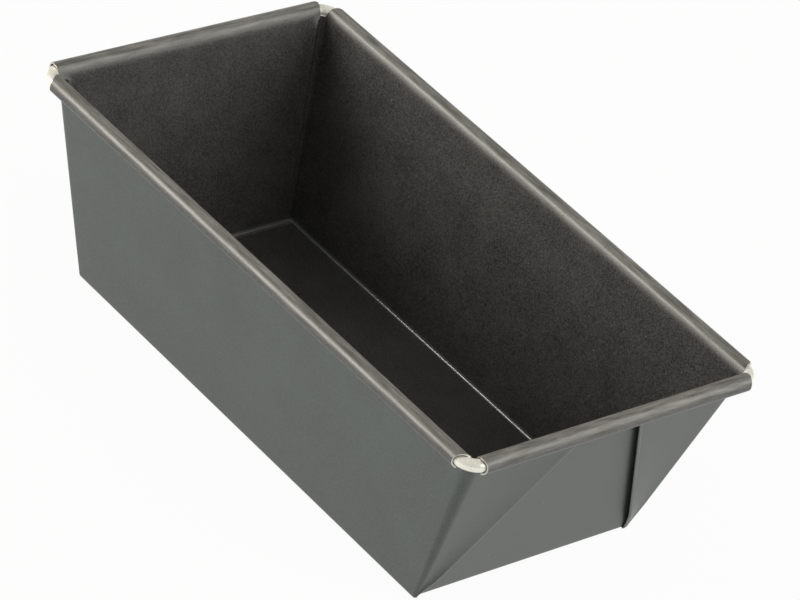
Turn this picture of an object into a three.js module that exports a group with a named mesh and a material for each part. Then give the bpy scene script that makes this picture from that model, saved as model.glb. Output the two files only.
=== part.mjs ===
// Mini loaf pan: one blank of coated sheet steel, folded into a tapered box, with its rim curled
// round a bent steel wire. Every region of the blank between fold lines is a piece of its own.
// Millimetres, +Z up, +X towards the front end, +Y towards the right side,
// origin on the table under the middle of the base.
import * as THREE from 'three';
import { toCreasedNormals } from 'three/addons/utils/BufferGeometryUtils.js';

// Driving dimensions
const BASE_LENGTH = 120.8; // between the end walls' outer faces, at the table
const BASE_WIDTH = 59.9; // between the side walls' outer faces, at the table
const RIM_LENGTH = 150.0; // between the wire's centre lines, lengthwise
const RIM_WIDTH = 78.8; // between the wire's centre lines, crosswise
const RIM_HEIGHT = 47.55; // wire's centre line above the table
const SHEET = 0.35; // thickness of the coated steel sheet
const BASE_BEND_RADIUS = 0.8; // outer radius where a wall turns up from the base
const CORNER_BEND_RADIUS = 1.6; // outer radius where a side wall turns round the corner
const WIRE_DIAMETER = 2.8;
const WIRE_BEND_RADIUS = 4.0; // centre-line radius of the wire's four corners
const ROLL_RADIUS = 8.0; // easing of a wall's top edge into its curl
const ROLL_SET = 0.25; // how far a wall stands inside the curl's bore
const CURL_WRAP = THREE.MathUtils.degToRad(235); // turn of the sheet from wall to cut edge
const CURL_OVERLAP = 0.8; // length of each wire corner that a curl still covers

// Clearances
const FOLD_GAP = 0.15; // between two plies of a corner fold
const CORNER_SLIT = 0.2; // between a side wall and the folded edge of an end wall
const TABLE_GAP = 0.5; // between the foot of a corner fold and the table
const WIRE_PLAY = 0.2; // round the wire, inside the curl
const WIRE_BUTT_GAP = 0.6; // between the wire's two ends, inside the left curl

// Fineness of the round stretches
const BEND_STEP = THREE.MathUtils.degToRad(15);
const WIRE_SIDES = 16;

// Sizes that follow from the ones above
const WIRE_RADIUS = WIRE_DIAMETER / 2;
const CURL_BORE = WIRE_RADIUS + WIRE_PLAY;
const HEM_RADIUS = (SHEET + FOLD_GAP) / 2; // mid-line radius of a ply folded back on itself
const HEM_EDGE = HEM_RADIUS + SHEET / 2; // outer radius of the same fold
const FOLD_STACK = 4 * HEM_RADIUS; // how far a corner fold stands out from its end wall
const CORNER_REACH = CORNER_BEND_RADIUS + SHEET; // length of side wall that belongs to a corner fold

const coatedSteel = new THREE.MeshStandardMaterial({ color: 0x6a6e6a, roughness: 0.45, metalness: 0.35 });
const nonStick = new THREE.MeshStandardMaterial({ color: 0x2b2a29, roughness: 0.55, metalness: 0.2 });
const tinnedWire = new THREE.MeshStandardMaterial({ color: 0xe4e2d6, roughness: 0.25, metalness: 1.0 });

// Where a wall of the pan runs, seen in section: x is the distance outwards from the pan's middle
// and y the height. The wall's outer face starts at foot and leans out to meet its curl.
function wallLine(baseSize, rimSize, setIn) {
  const foot = baseSize / 2;
  const slope = (rimSize / 2 - setIn - foot) / RIM_HEIGHT;
  const lean = Math.atan(slope);
  const upwards = new THREE.Vector2(Math.sin(lean), Math.cos(lean));
  const outwards = new THREE.Vector2(Math.cos(lean), -Math.sin(lean));
  const bendCentre = new THREE.Vector2(0, BASE_BEND_RADIUS);
  bendCentre.x = foot + slope * BASE_BEND_RADIUS - BASE_BEND_RADIUS / Math.cos(lean);
  const wireCentre = new THREE.Vector2(rimSize / 2, RIM_HEIGHT);

  // The roll's arc touches the wall's outer face and, from inside, the bore of the curl.
  const wireOffset = setIn * Math.cos(lean);
  const rollReach = Math.sqrt((ROLL_RADIUS - CURL_BORE) ** 2 - (ROLL_RADIUS - wireOffset) ** 2);
  const rollTurn = Math.atan2(rollReach, ROLL_RADIUS - wireOffset);
  const rollStart = wireCentre.clone();
  rollStart.addScaledVector(outwards, -wireOffset).addScaledVector(upwards, -rollReach);
  return {
    foot,
    slope,
    lean,
    outwards,
    bendCentre,
    rollStart,
    rollTurn,
    straight: rollStart.clone().sub(bendCentre).dot(upwards),
    // Distance from the pan's middle to the point at this depth from the outer face, at height z
    at: (z, depth = 0) => foot + slope * z - depth / Math.cos(lean),
  };
}

const side = wallLine(BASE_WIDTH, RIM_WIDTH, CURL_BORE + ROLL_SET);
const end = wallLine(BASE_LENGTH, RIM_LENGTH, CURL_BORE + ROLL_SET + FOLD_STACK);

// An end wall's folded edge clears the side wall, the side wall's bend at the base and the bend round
// the corner.
const sideBendInset = (side.foot - side.bendCentre.x) * Math.cos(side.lean);
const FOLD_EDGE = Math.max(CORNER_BEND_RADIUS, CORNER_SLIT + Math.max(SHEET + HEM_EDGE, sideBendInset));
const FLAP_FOOT = FOLD_EDGE + HEM_EDGE + SHEET; // narrowest width of a corner fold's flap

// Half lengths of the walls and curls, each between its own two ends
const sideHalfLength = (z) => end.at(z, CORNER_REACH);
const endHalfLength = (z) => side.at(z, FOLD_EDGE);
const curlSetback = WIRE_BEND_RADIUS - CURL_OVERLAP;
const sideCurlHalfLength = () => RIM_LENGTH / 2 - curlSetback;
const endCurlHalfLength = () => RIM_WIDTH / 2 - curlSetback;

// Follows a strip of sheet along its mid-line through straights and bends, with left turns positive,
// and returns the strip's closed outline.
function stripOutline(start, heading, moves) {
  const right = [];
  const left = [];
  const point = start.clone();
  let angle = heading;
  const leftwards = () => new THREE.Vector2(-Math.sin(angle), Math.cos(angle));
  const mark = () => {
    right.push(point.clone().addScaledVector(leftwards(), -SHEET / 2));
    left.push(point.clone().addScaledVector(leftwards(), SHEET / 2));
  };
  mark();
  for (const { straight, turn, radius } of moves) {
    if (straight !== undefined) {
      point.add(new THREE.Vector2(Math.cos(angle), Math.sin(angle)).multiplyScalar(straight));
      mark();
      continue;
    }
    const signedRadius = radius * Math.sign(turn);
    const centre = point.clone().addScaledVector(leftwards(), signedRadius);
    const steps = Math.ceil(Math.abs(turn) / BEND_STEP);
    for (let step = 0; step < steps; step += 1) {
      angle += turn / steps;
      point.copy(centre).addScaledVector(leftwards(), -signedRadius);
      mark();
    }
  }
  return [...right, ...left.reverse()];
}

// Joins outlines of equal length into one closed body. place(point, level) puts a point of the
// outline at that level in space.
function loft(outlines, place) {
  const clockwise = THREE.ShapeUtils.isClockWise(outlines[0]);
  const rings = clockwise ? outlines.map((outline) => [...outline].reverse()) : outlines;
  const count = rings[0].length;
  const last = rings.length - 1;
  const positions = rings.flatMap((ring, level) => ring.flatMap((point) => place(point, level).toArray()));
  const triangles = [];
  for (let level = 0; level < last; level += 1) {
    for (let corner = 0; corner < count; corner += 1) {
      const here = level * count + corner;
      const next = level * count + ((corner + 1) % count);
      triangles.push(here, next, next + count, here, next + count, here + count);
    }
  }
  const cap = (level, facing) => {
    for (const [a, b, c] of THREE.ShapeUtils.triangulateShape(rings[level], [])) {
      const area = THREE.ShapeUtils.area([rings[level][a], rings[level][b], rings[level][c]]);
      const order = area * facing > 0 ? [a, b, c] : [a, c, b];
      triangles.push(...order.map((corner) => level * count + corner));
    }
  };
  cap(0, -1);
  cap(last, 1);
  const geometry = new THREE.BufferGeometry();
  geometry.setAttribute('position', new THREE.Float32BufferAttribute(positions, 3));
  geometry.setIndex(triangles);
  return toCreasedNormals(geometry, 2 * BEND_STEP);
}

// A panel that runs along X on the right side of the pan, from its section and its half length
function panelGeometry(section, halfLength) {
  const place = (point, level) => {
    const half = halfLength(point.y);
    return new THREE.Vector3(level === 0 ? -half : half, point.x, point.y);
  };
  return loft([section, section], place);
}

// A wall with its bend at the foot, up to where its top begins to roll
function wallGeometry(wall, halfLength) {
  const start = new THREE.Vector2(wall.bendCentre.x, SHEET / 2);
  const section = stripOutline(start, 0, [
    { turn: Math.PI / 2 - wall.lean, radius: BASE_BEND_RADIUS - SHEET / 2 },
    { straight: wall.straight },
  ]);
  return panelGeometry(section, halfLength);
}

// The top of a wall, rolled outwards and curled over the wire
function curlGeometry(wall, halfLength) {
  const start = wall.rollStart.clone().addScaledVector(wall.outwards, -SHEET / 2);
  const section = stripOutline(start, Math.PI / 2 - wall.lean, [
    { turn: -wall.rollTurn, radius: ROLL_RADIUS + SHEET / 2 },
    { turn: wall.rollTurn - CURL_WRAP, radius: CURL_BORE + SHEET / 2 },
  ]);
  return panelGeometry(section, halfLength);
}

// The flat of the base, with an ear at each corner that closes it under the corner fold
function baseGeometry() {
  const alongX = end.bendCentre.x;
  const alongY = side.bendCentre.x;
  const earX = end.at(0);
  const earY = side.at(0, SHEET);
  const earStartX = sideHalfLength(SHEET) + FOLD_GAP;
  const earStartY = endHalfLength(SHEET) + CORNER_SLIT / 2;
  const quarter = [
    [alongX, earStartY],
    [earX, earStartY],
    [earX, earY],
    [earStartX, earY],
    [earStartX, alongY],
  ];
  const back = [...quarter].reverse();
  const shape = new THREE.Shape([
    ...quarter.map(([x, y]) => new THREE.Vector2(x, y)),
    ...back.map(([x, y]) => new THREE.Vector2(-x, y)),
    ...quarter.map(([x, y]) => new THREE.Vector2(-x, -y)),
    ...back.map(([x, y]) => new THREE.Vector2(x, -y)),
  ]);
  return new THREE.ExtrudeGeometry(shape, { depth: SHEET, bevelEnabled: false });
}

// Width that a corner fold's flap gains for each millimetre of height. The fold halves the blank's
// spare sector between the two walls, so its diagonal follows from their two slopes.
function flapGrowth() {
  const cornerLine = new THREE.Vector3(end.slope, side.slope, 1);
  const toLength = cornerLine.angleTo(new THREE.Vector3(1, 0, 0));
  const toWidth = cornerLine.angleTo(new THREE.Vector3(0, 1, 0));
  const halfSector = (toLength + toWidth - Math.PI / 2) / 2;
  const diagonal = halfSector - (Math.PI / 2 - toWidth);
  return Math.tan(diagonal) / Math.cos(end.lean) + side.slope;
}

// Plan of a corner fold whose flap has this width: x is the distance out from the end wall's outer
// face and y the distance out from the side wall's. The strip leaves the side wall, turns round the
// corner, runs across the end wall, doubles back at the flap's hem and ends at the end wall's edge.
function cornerPlan(width) {
  const start = new THREE.Vector2(-CORNER_REACH, -SHEET / 2);
  return stripOutline(start, 0, [
    { straight: CORNER_REACH + FOLD_STACK - CORNER_BEND_RADIUS },
    { turn: -Math.PI / 2, radius: CORNER_BEND_RADIUS - SHEET / 2 },
    { straight: width - CORNER_BEND_RADIUS - HEM_EDGE },
    { turn: -Math.PI, radius: HEM_RADIUS },
    { straight: width - HEM_EDGE - FOLD_EDGE },
    { turn: Math.PI, radius: HEM_RADIUS },
  ]);
}

// A corner fold at the front end; hand is 1 on the right side and -1 on the left
function cornerGeometry(hand) {
  const growth = flapGrowth();
  const heights = [TABLE_GAP, FLAP_FOOT / growth, end.rollStart.y];
  const plans = heights.map((z) => cornerPlan(Math.max(FLAP_FOOT, growth * z)));
  const outlines = plans.map((plan) => plan.map((point) => new THREE.Vector2(point.x, hand * point.y)));
  const place = (point, level) => {
    const z = heights[level];
    return new THREE.Vector3(end.at(z, -point.x), hand * side.at(z, -hand * point.y), z);
  };
  return loft(outlines, place);
}

// The rim wire: an open loop, bent round the four corners, with its ends butted on the left side
function wireGeometry() {
  const reachX = RIM_LENGTH / 2 - WIRE_BEND_RADIUS;
  const reachY = RIM_WIDTH / 2 - WIRE_BEND_RADIUS;
  const bendCentres = [
    [reachX, -reachY],
    [reachX, reachY],
    [-reachX, reachY],
    [-reachX, -reachY],
  ];
  const stations = [{ x: WIRE_BUTT_GAP / 2, y: -RIM_WIDTH / 2, heading: 0 }];
  const steps = Math.ceil(Math.PI / 2 / BEND_STEP);
  bendCentres.forEach(([x, y], quarter) => {
    for (let step = 0; step <= steps; step += 1) {
      const heading = (quarter + step / steps) * (Math.PI / 2);
      stations.push({
        x: x + WIRE_BEND_RADIUS * Math.sin(heading),
        y: y - WIRE_BEND_RADIUS * Math.cos(heading),
        heading,
      });
    }
  });
  stations.push({ x: -WIRE_BUTT_GAP / 2, y: -RIM_WIDTH / 2, heading: 0 });
  const circle = new THREE.Path().absarc(0, 0, WIRE_RADIUS, 0, 2 * Math.PI).getPoints(WIRE_SIDES / 2);
  const section = circle.slice(0, WIRE_SIDES);
  const place = (point, level) => {
    const { x, y, heading } = stations[level];
    return new THREE.Vector3(
      x - point.x * Math.sin(heading),
      y + point.x * Math.cos(heading),
      RIM_HEIGHT + point.y,
    );
  };
  return loft(stations.map(() => section), place);
}

const pan = new THREE.Group();

function addPiece(name, geometry, material, turn = 0) {
  const mesh = new THREE.Mesh(geometry, material);
  mesh.name = name;
  mesh.rotation.z = turn;
  pan.add(mesh);
}

addPiece('base_panel', baseGeometry(), nonStick);

// Each side and end is drawn on the right and turned to its place.
const TURNS = { right: 0, left: Math.PI, front: -Math.PI / 2, rear: Math.PI / 2 };
for (const place of ['right', 'left']) {
  addPiece(`${place}_side_wall`, wallGeometry(side, sideHalfLength), coatedSteel, TURNS[place]);
  addPiece(`${place}_rim_curl`, curlGeometry(side, sideCurlHalfLength), coatedSteel, TURNS[place]);
}
for (const place of ['front', 'rear']) {
  addPiece(`${place}_end_wall`, wallGeometry(end, endHalfLength), coatedSteel, TURNS[place]);
  addPiece(`${place}_rim_curl`, curlGeometry(end, endCurlHalfLength), coatedSteel, TURNS[place]);
}

// A fold drawn at one front corner, turned half round, serves the opposite rear corner.
addPiece('front_right_corner_fold', cornerGeometry(1), coatedSteel);
addPiece('front_left_corner_fold', cornerGeometry(-1), coatedSteel);
addPiece('rear_left_corner_fold', cornerGeometry(1), coatedSteel, Math.PI);
addPiece('rear_right_corner_fold', cornerGeometry(-1), coatedSteel, Math.PI);

addPiece('rim_wire', wireGeometry(), tinnedWire);

export default pan;
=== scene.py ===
"""Looks of a mini loaf pan: folded coated sheet steel with its rim curled round a bent wire.

Sizes are in millimetres, and each mesh is brought to metres once it is whole. The pan's own frame is
kept: +X along its length towards the front end, +Y towards the right side, +Z up, origin on the
table under the middle of the base.
"""
import logging
import math
from dataclasses import dataclass, replace
from enum import Enum

import bmesh
import bpy
from mathutils import Matrix, Vector


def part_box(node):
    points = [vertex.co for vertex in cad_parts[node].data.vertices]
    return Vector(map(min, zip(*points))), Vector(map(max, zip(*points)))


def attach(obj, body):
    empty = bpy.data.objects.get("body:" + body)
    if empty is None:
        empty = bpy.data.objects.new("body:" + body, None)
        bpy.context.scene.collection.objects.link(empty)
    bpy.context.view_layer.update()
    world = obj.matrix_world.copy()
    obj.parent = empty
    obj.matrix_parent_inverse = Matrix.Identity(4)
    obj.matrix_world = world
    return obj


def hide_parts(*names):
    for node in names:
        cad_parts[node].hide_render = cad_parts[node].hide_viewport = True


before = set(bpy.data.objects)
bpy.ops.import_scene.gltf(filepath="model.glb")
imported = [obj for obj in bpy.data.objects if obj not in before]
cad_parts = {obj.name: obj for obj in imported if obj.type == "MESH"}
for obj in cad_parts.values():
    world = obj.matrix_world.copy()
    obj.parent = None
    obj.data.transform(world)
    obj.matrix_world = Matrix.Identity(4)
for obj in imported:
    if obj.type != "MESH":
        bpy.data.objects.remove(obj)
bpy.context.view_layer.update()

LOG = logging.getLogger("mini_loaf_pan")
MM = 0.001
BODY = "root"
SMOOTH_ANGLE = math.radians(35)


class Place(Enum):
    """Where a wall stands.

    Each holds the turn in degrees about the upright axis that takes a wall there from the right side,
    and how far its curl was cut off centre, along the wall as it is drawn on the right.
    """

    RIGHT = (0, 0.3)
    LEFT = (180, -0.65)
    FRONT = (-90, 0.0)
    REAR = (90, -0.4)

    @property
    def turn(self) -> float:
        """Turn about the upright axis, in radians."""
        return math.radians(self.value[0])

    @property
    def curl_shift(self) -> float:
        """How far the curl's two cut ends lie off centre."""
        return self.value[1]


class Flat(Enum):
    """Plane that a sheet's mid-line is drawn in, as the plane's two axes."""

    SECTION = (Vector((0, 1, 0)), Vector((0, 0, 1)))
    PLAN = (Vector((1, 0, 0)), Vector((0, 1, 0)))


class Lap(Enum):
    """Finishes on the left and the right of a sheet's drawn line and on its edges, for each of its regions.

    A corner fold has two regions: its plies, and the hem between them.
    """

    INSIDE_ON_LEFT = ("inside", "outside", "cut")
    OUTSIDE_ON_LEFT = ("outside", "inside", "inside", "hem", "inside", "inside")


def box_mm(node: str) -> tuple[Vector, Vector]:
    """Reads where a node of the frame lies.

    Args:
        node: the node's name.

    Returns:
        Its lowest and highest corners, in millimetres.
    """
    low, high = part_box(node)
    return low / MM, high / MM


@dataclass(frozen=True)
class PanSizes:
    """Driving sizes of the pan, read from the frame.

    Attributes:
        sheet: thickness of the sheet.
        base_length: between the end walls' outer faces, at the table.
        base_width: between the side walls' outer faces, at the table.
        rim_length: between the wire's centre lines, lengthwise.
        rim_width: between the wire's centre lines, crosswise.
        rim_height: wire's centre line above the table.
        wire_radius: radius of the rim wire.
        curl_radius: outer radius of the curled rim.
    """

    sheet: float
    base_length: float
    base_width: float
    rim_length: float
    rim_width: float
    rim_height: float
    wire_radius: float
    curl_radius: float

    @classmethod
    def from_frame(cls) -> "PanSizes":
        """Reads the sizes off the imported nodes.

        The base's ears reach the end walls' outer faces and the side walls' inner ones.

        Returns:
            The driving sizes.
        """
        _, base = box_mm("base_panel")
        wire_low, wire_high = box_mm("rim_wire")
        _, side_curl = box_mm("right_rim_curl")
        wire = wire_high.z - wire_low.z
        rim_height = (wire_low.z + wire_high.z) / 2
        return cls(
            sheet=base.z,
            base_length=2 * base.x,
            base_width=2 * (base.y + base.z),
            rim_length=wire_high.x - wire_low.x - wire,
            rim_width=wire_high.y - wire_low.y - wire,
            rim_height=rim_height,
            wire_radius=wire / 2,
            curl_radius=side_curl.z - rim_height,
        )

    @property
    def bore(self) -> float:
        """Inner radius of the curl."""
        return self.curl_radius - self.sheet


@dataclass(frozen=True)
class WallLine:
    """Run of a wall in section, as distance out from the pan's middle against height.

    Attributes:
        foot: the outer face's distance at the table.
        rim: the curl's centre, as distance and height.
        set_in: from the curl's centre in to the outer face, at the rim's height.
        bore: inner radius of the curl.
        bend_radius: outer radius of the bend at the foot.
        roll_radius: easing of the wall's top into the curl.
    """

    foot: float
    rim: Vector
    set_in: float
    bore: float
    bend_radius: float = 1.0
    roll_radius: float = 8.0

    @property
    def slope(self) -> float:
        """How far the wall leans out for each millimetre of height."""
        return (self.rim.x - self.set_in - self.foot) / self.rim.y

    @property
    def lean(self) -> float:
        """Angle of the wall from upright."""
        return math.atan(self.slope)

    @property
    def upwards(self) -> Vector:
        """Direction up the wall."""
        return Vector((math.sin(self.lean), math.cos(self.lean)))

    @property
    def outwards(self) -> Vector:
        """Direction out of the wall's outer face."""
        return Vector((math.cos(self.lean), -math.sin(self.lean)))

    @property
    def bend_centre(self) -> Vector:
        """Centre of the bend that turns the wall up from the base."""
        radius = self.bend_radius
        return Vector((self.at(radius) - radius / math.cos(self.lean), radius))

    @property
    def roll_reach(self) -> float:
        """Length up the wall from the start of the roll to level with the curl's centre."""
        offset = self.set_in * math.cos(self.lean)
        return math.sqrt((self.roll_radius - self.bore) ** 2 - (self.roll_radius - offset) ** 2)

    @property
    def roll_turn(self) -> float:
        """Turn of the roll before the tighter curl begins."""
        return math.atan2(self.roll_reach, self.roll_radius - self.set_in * math.cos(self.lean))

    @property
    def roll_start(self) -> Vector:
        """Point of the outer face where the roll begins."""
        offset = self.set_in * math.cos(self.lean)
        return self.rim - offset * self.outwards - self.roll_reach * self.upwards

    def at(self, height: float, depth: float = 0.0) -> float:
        """Finds the wall in section.

        Args:
            height: height above the table.
            depth: depth behind the outer face.

        Returns:
            Distance out from the pan's middle.
        """
        return self.foot + self.slope * height - depth / math.cos(self.lean)

    def face(self, height: float, depth: float = 0.0) -> float:
        """Finds the wall in section, with its bend at the foot.

        Args:
            height: height above the table.
            depth: depth behind the outer face.

        Returns:
            Distance out from the pan's middle.
        """
        radius, below = self.bend_radius - depth, self.bend_radius - height
        if below <= radius * math.sin(self.lean):
            return self.at(height, depth)
        return self.bend_centre.x + math.sqrt(max(0.0, radius**2 - below**2))


def clamp(value: float) -> float:
    """Holds a value between 0 and 1."""
    return max(0.0, min(1.0, value))


class SheetLine:
    """Mid-line of a strip of sheet, drawn with straights and bends and then swept into a surface.

    Attributes:
        BEND_STEP: most that one edge of a bend turns.
        across: first axis of the drawing's plane.
        along: its second axis.
        axis: the plane's normal.
        angle: direction of the line at its tip.
        mesh: the bmesh that holds the line and then the surface.
        tip: the line's last point.
    """

    BEND_STEP = math.radians(7.5)

    def __init__(self, flat: Flat, start: Vector, heading: float) -> None:
        """Starts a line.

        Args:
            flat: plane of the drawing.
            start: first point, in the plane.
            heading: first direction, as an angle from the plane's first axis.
        """
        self.across, self.along = flat.value
        self.axis = self.across.cross(self.along)
        self.angle = heading
        self.mesh = bmesh.new()
        self.tip = self.mesh.verts.new(start.x * self.across + start.y * self.along)

    def straight(self, length: float, pieces: int = 1) -> "SheetLine":
        """Goes straight on.

        Args:
            length: length of the straight.
            pieces: edges to cut it into.

        Returns:
            The line itself.
        """
        ahead = math.cos(self.angle) * self.across + math.sin(self.angle) * self.along
        for _ in range(pieces):
            self.tip = bmesh.ops.extrude_vert_indiv(self.mesh, verts=[self.tip])["verts"][0]
            bmesh.ops.translate(self.mesh, verts=[self.tip], vec=ahead * length / pieces)
        return self

    def bend(self, turn: float, radius: float) -> "SheetLine":
        """Bends the sheet.

        Args:
            turn: angle of the bend, positive to the left.
            radius: radius of the mid-line.

        Returns:
            The line itself.
        """
        left = math.cos(self.angle) * self.along - math.sin(self.angle) * self.across
        centre = self.tip.co + left * math.copysign(radius, turn)
        steps = max(2, math.ceil(abs(turn) / self.BEND_STEP))
        spun = bmesh.ops.spin(
            self.mesh, geom=[self.tip], cent=centre, axis=self.axis, angle=turn, steps=steps,
            use_merge=False, use_duplicate=False,
        )
        self.tip = next(item for item in spun["geom_last"] if isinstance(item, bmesh.types.BMVert))
        self.angle += turn
        return self

    def sweep(self, start: float, end: float, steps: int) -> bmesh.types.BMesh:
        """Sweeps the line square to its plane into a surface that faces the line's left.

        Args:
            start: where the surface begins, along the plane's normal.
            end: where it ends.
            steps: strips of faces between them.

        Returns:
            The surface.
        """
        bmesh.ops.translate(self.mesh, verts=self.mesh.verts[:], vec=self.axis * start)
        edges = self.mesh.edges[:]
        for _ in range(steps):
            made = bmesh.ops.extrude_edge_only(self.mesh, edges=edges)["geom"]
            edges = [item for item in made if isinstance(item, bmesh.types.BMEdge)]
            verts = [item for item in made if isinstance(item, bmesh.types.BMVert)]
            bmesh.ops.translate(self.mesh, verts=verts, vec=self.axis * (end - start) / steps)
        return self.mesh


def linear(hex_colour: str) -> tuple[float, float, float, float]:
    """Turns an sRGB hex colour into a linear one.

    Args:
        hex_colour: six hex digits after a hash sign.

    Returns:
        Linear red, green, blue and an alpha of 1.
    """
    channels = [int(hex_colour[i : i + 2], 16) / 255 for i in (1, 3, 5)]
    lit = [c / 12.92 if c <= 0.04045 else ((c + 0.055) / 1.055) ** 2.4 for c in channels]
    return (*lit, 1.0)


def per_metre(size: float) -> float:
    """Pattern scale, in repeats per metre, of a feature of this size in millimetres."""
    return 1 / (size * MM)


Tree = bpy.types.NodeTree
Socket = bpy.types.NodeSocket


def add_node(
    tree: Tree,
    kind: str,
    settings: dict[str, object] | None = None,
    inputs: dict[str | int, object] | None = None,
) -> bpy.types.Node:
    """Adds a node with its settings and links.

    Args:
        tree: the node tree.
        kind: the shader node's type.
        settings: attribute values.
        inputs: for each input, by name or number, its value or the output that feeds it.

    Returns:
        The new node.
    """
    node = tree.nodes.new(f"ShaderNode{kind}")
    for name, value in (settings or {}).items():
        setattr(node, name, value)
    for key, value in (inputs or {}).items():
        if isinstance(value, Socket):
            tree.links.new(value, node.inputs[key])
        else:
            node.inputs[key].default_value = value
    return node


def new_material(name: str) -> tuple[bpy.types.Material, Tree]:
    """Makes a material with an empty node tree.

    Args:
        name: the material's name.

    Returns:
        The material and its tree.
    """
    material = bpy.data.materials.new(name)
    material.use_nodes = True
    material.node_tree.nodes.clear()
    return material, material.node_tree


@dataclass(frozen=True)
class Coating:
    """Coating that is sprayed on sheet steel and baked: satin, finely grained, with a little dust on it.

    Attributes:
        name: the material's name.
        deep: colour of the coating's low grain.
        pale: colour of its high grain.
        dust: colour of the dust.
        rolled: darker and paler colour where the rim was rolled, which burnishes and marks the coating.
        rolled_roughness: roughness there.
        metallic: share of metal flake in the look.
        roughness: least and most roughness.
        grain: size of the grain.
        mottle: size of the broad cloudiness.
        mottle_share: how much the cloudiness darkens or lightens the coating.
        dust_spacing: distance between specks of dust.
        dust_size: radius of a speck.
        grain_height: height of the grain.
        creased_roughness: roughness in the fold at the base, which the bending tool burnishes.
        gleam_and_painted_highlight: how far the burnish there brings the coating to a metal's gleam,
            partly a painted highlight.
        gleam_and_painted_highlight_colour: pale colour of the gleam, a painted highlight.
        mark: width of the roller's marks.
        mark_length: length of the marks, which run along the rim.
        rolled_from: heights over the wire's centre line between which the rolled look sets in.
        creased: heights over the base's sheet at which the fold's burnish and painted highlight start,
        are full and end.
        end_margin: how far inside the wire's centre line an end wall's rim, marked crosswise, begins.
        worked_grain: share of the grain that is left where the sheet was worked.
        COLOUR_SPAN: part of the noise's range that the two colours spread over.
        GLOSS_SPAN: part that the roughness spreads over.
        MARK_SPAN: part that the roller's marks spread over.
        SPECK_CORE: share of a speck's radius inside which it hides the coating.
    """

    COLOUR_SPAN = (0.32, 0.68)
    GLOSS_SPAN = (0.3, 0.7)
    MARK_SPAN = (0.35, 0.65)
    SPECK_CORE = 0.6

    name: str
    deep: str
    pale: str
    dust: str
    rolled: tuple[str, str]
    rolled_roughness: float
    metallic: float
    roughness: tuple[float, float]
    grain: float
    mottle: float
    mottle_share: float
    dust_spacing: float
    dust_size: float
    grain_height: float
    creased_roughness: float = 0.34
    gleam_and_painted_highlight: float = 0.0
    gleam_and_painted_highlight_colour: str = "#a4a4a1"
    mark: float = 0.7
    mark_length: float = 7.0
    rolled_from: tuple[float, float] = (-0.75, 1.65)
    creased: tuple[float, float, float] = (0.01, 0.15, 1.05)
    end_margin: float = 2.4
    worked_grain: float = 0.04

    def grained(self, tree: Tree, place: Socket) -> tuple[Socket, Socket]:
        """Draws the grain and the cloudiness.

        Args:
            tree: the material's node tree.
            place: Object coordinates.

        Returns:
            The grain alone, and the grain with the cloudiness in it.
        """
        grain = add_node(tree, "TexNoise", inputs={
            "Vector": place, "Scale": per_metre(self.grain), "Detail": 2.0, "Roughness": 0.6,
        }).outputs["Fac"]
        mottle = add_node(tree, "TexNoise", inputs={
            "Vector": place, "Scale": per_metre(self.mottle), "Detail": 4.0, "Roughness": 0.55,
        }).outputs["Fac"]
        blend = add_node(tree, "Mix", {"data_type": "FLOAT"}, {
            "Factor": self.mottle_share, "A": grain, "B": mottle,
        }).outputs["Result"]
        return grain, blend

    def worked(self, tree: Tree, height: Socket, sizes: PanSizes) -> tuple[Socket, Socket]:
        """Finds where the sheet was worked.

        Args:
            tree: the material's node tree.
            height: height above the table.
            sizes: driving sizes of the pan.

        Returns:
            Shares of the rolled look at the rim and of the burnish and painted highlight in the fold
            at the base.
        """
        low, high = (sizes.rim_height + rise for rise in self.rolled_from)
        start, full, end = (sizes.sheet + rise for rise in self.creased)
        rolled = add_node(tree, "MapRange", {"interpolation_type": "SMOOTHSTEP"}, {
            "Value": height, "From Min": low * MM, "From Max": high * MM,
        }).outputs["Result"]
        rising = add_node(tree, "MapRange", {"interpolation_type": "SMOOTHSTEP"}, {
            "Value": height, "From Min": start * MM, "From Max": full * MM,
        }).outputs["Result"]
        creased = add_node(tree, "MapRange", {"interpolation_type": "SMOOTHSTEP"}, {
            "Value": height, "From Min": full * MM, "From Max": end * MM, "To Min": rising, "To Max": 0.0,
        }).outputs["Result"]
        return rolled, creased

    def rim_colour(self, tree: Tree, place: Socket, lengthwise: Socket, sizes: PanSizes) -> Socket:
        """Draws the rolled rim, with marks that run along each wall.

        Args:
            tree: the material's node tree.
            place: Object coordinates.
            lengthwise: distance along the pan from its middle.
            sizes: driving sizes of the pan.

        Returns:
            The rim's colour.
        """
        reach = add_node(tree, "Math", {"operation": "ABSOLUTE"}, {0: lengthwise}).outputs[0]
        at_end = add_node(tree, "Math", {"operation": "GREATER_THAN"}, {
            0: reach, 1: (sizes.rim_length / 2 - self.end_margin) * MM,
        }).outputs[0]
        drawn_out = self.mark / self.mark_length
        run = add_node(tree, "Mix", {"data_type": "VECTOR"}, {
            "Factor": at_end, 4: (drawn_out, 1.0, 1.0), 5: (1.0, drawn_out, 1.0),
        }).outputs[1]
        along = add_node(tree, "VectorMath", {"operation": "MULTIPLY"}, {
            0: place, 1: run,
        }).outputs[0]
        streaks = add_node(tree, "TexNoise", inputs={
            "Vector": along, "Scale": per_metre(self.mark), "Detail": 4.0, "Roughness": 0.6,
        }).outputs["Fac"]
        marks = add_node(tree, "MapRange", inputs={
            "Value": streaks, "From Min": self.MARK_SPAN[0], "From Max": self.MARK_SPAN[1],
        }).outputs["Result"]
        return add_node(tree, "Mix", {"data_type": "RGBA"}, {
            "Factor": marks, 6: linear(self.rolled[0]), 7: linear(self.rolled[1]),
        }).outputs[2]

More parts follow.
